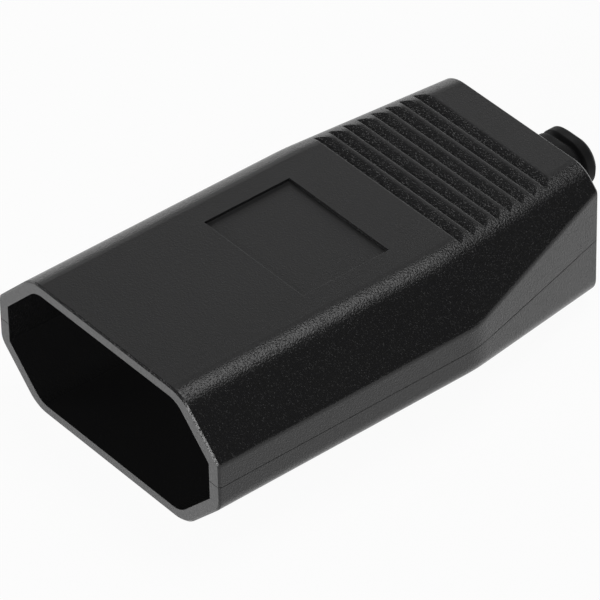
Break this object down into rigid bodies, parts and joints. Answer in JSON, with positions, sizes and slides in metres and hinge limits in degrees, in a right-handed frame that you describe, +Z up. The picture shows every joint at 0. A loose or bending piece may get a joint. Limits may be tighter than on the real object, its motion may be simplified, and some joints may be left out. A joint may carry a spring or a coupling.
{
  "type": "two-pin cable socket",
  "caption": "Flat in-line mains socket: octagonal moulded half shells with grip grooves, brass pin sleeves, screw terminals, cord grip and rubber cable grommet.",
  "frame": {"origin": "under the middle of the part's box, on the underside it rests on", "axes": "+Y from the mouth towards the cable, +Z up across the parting plane, +X across the pins"},
  "size_m": [0.04, 0.0702, 0.0188],
  "materials": {
    "shell_plastic": "fine spark texture, matte",
    "contact_brass": "turned, bare",
    "spring_steel": "rolled strip",
    "screw_steel": "zinc plated",
    "clamp_plastic": "moulded, matte",
    "grommet_rubber": "smooth rubber"
  },
  "bodies": {
    "root": {"upper_shell": "shell_plastic", "lower_shell": "shell_plastic", "left_contact": "contact_brass", "right_contact": "contact_brass", "left_contact_spring": "spring_steel", "right_contact_spring": "spring_steel", "left_terminal_screw": "screw_steel", "right_terminal_screw": "screw_steel", "left_clamp_screw": "screw_steel", "right_clamp_screw": "screw_steel", "front_shell_screw": "screw_steel", "rear_shell_screw": "screw_steel", "cable_clamp": "clamp_plastic", "cable_grommet": "grommet_rubber"}
  },
  "joints": []
}
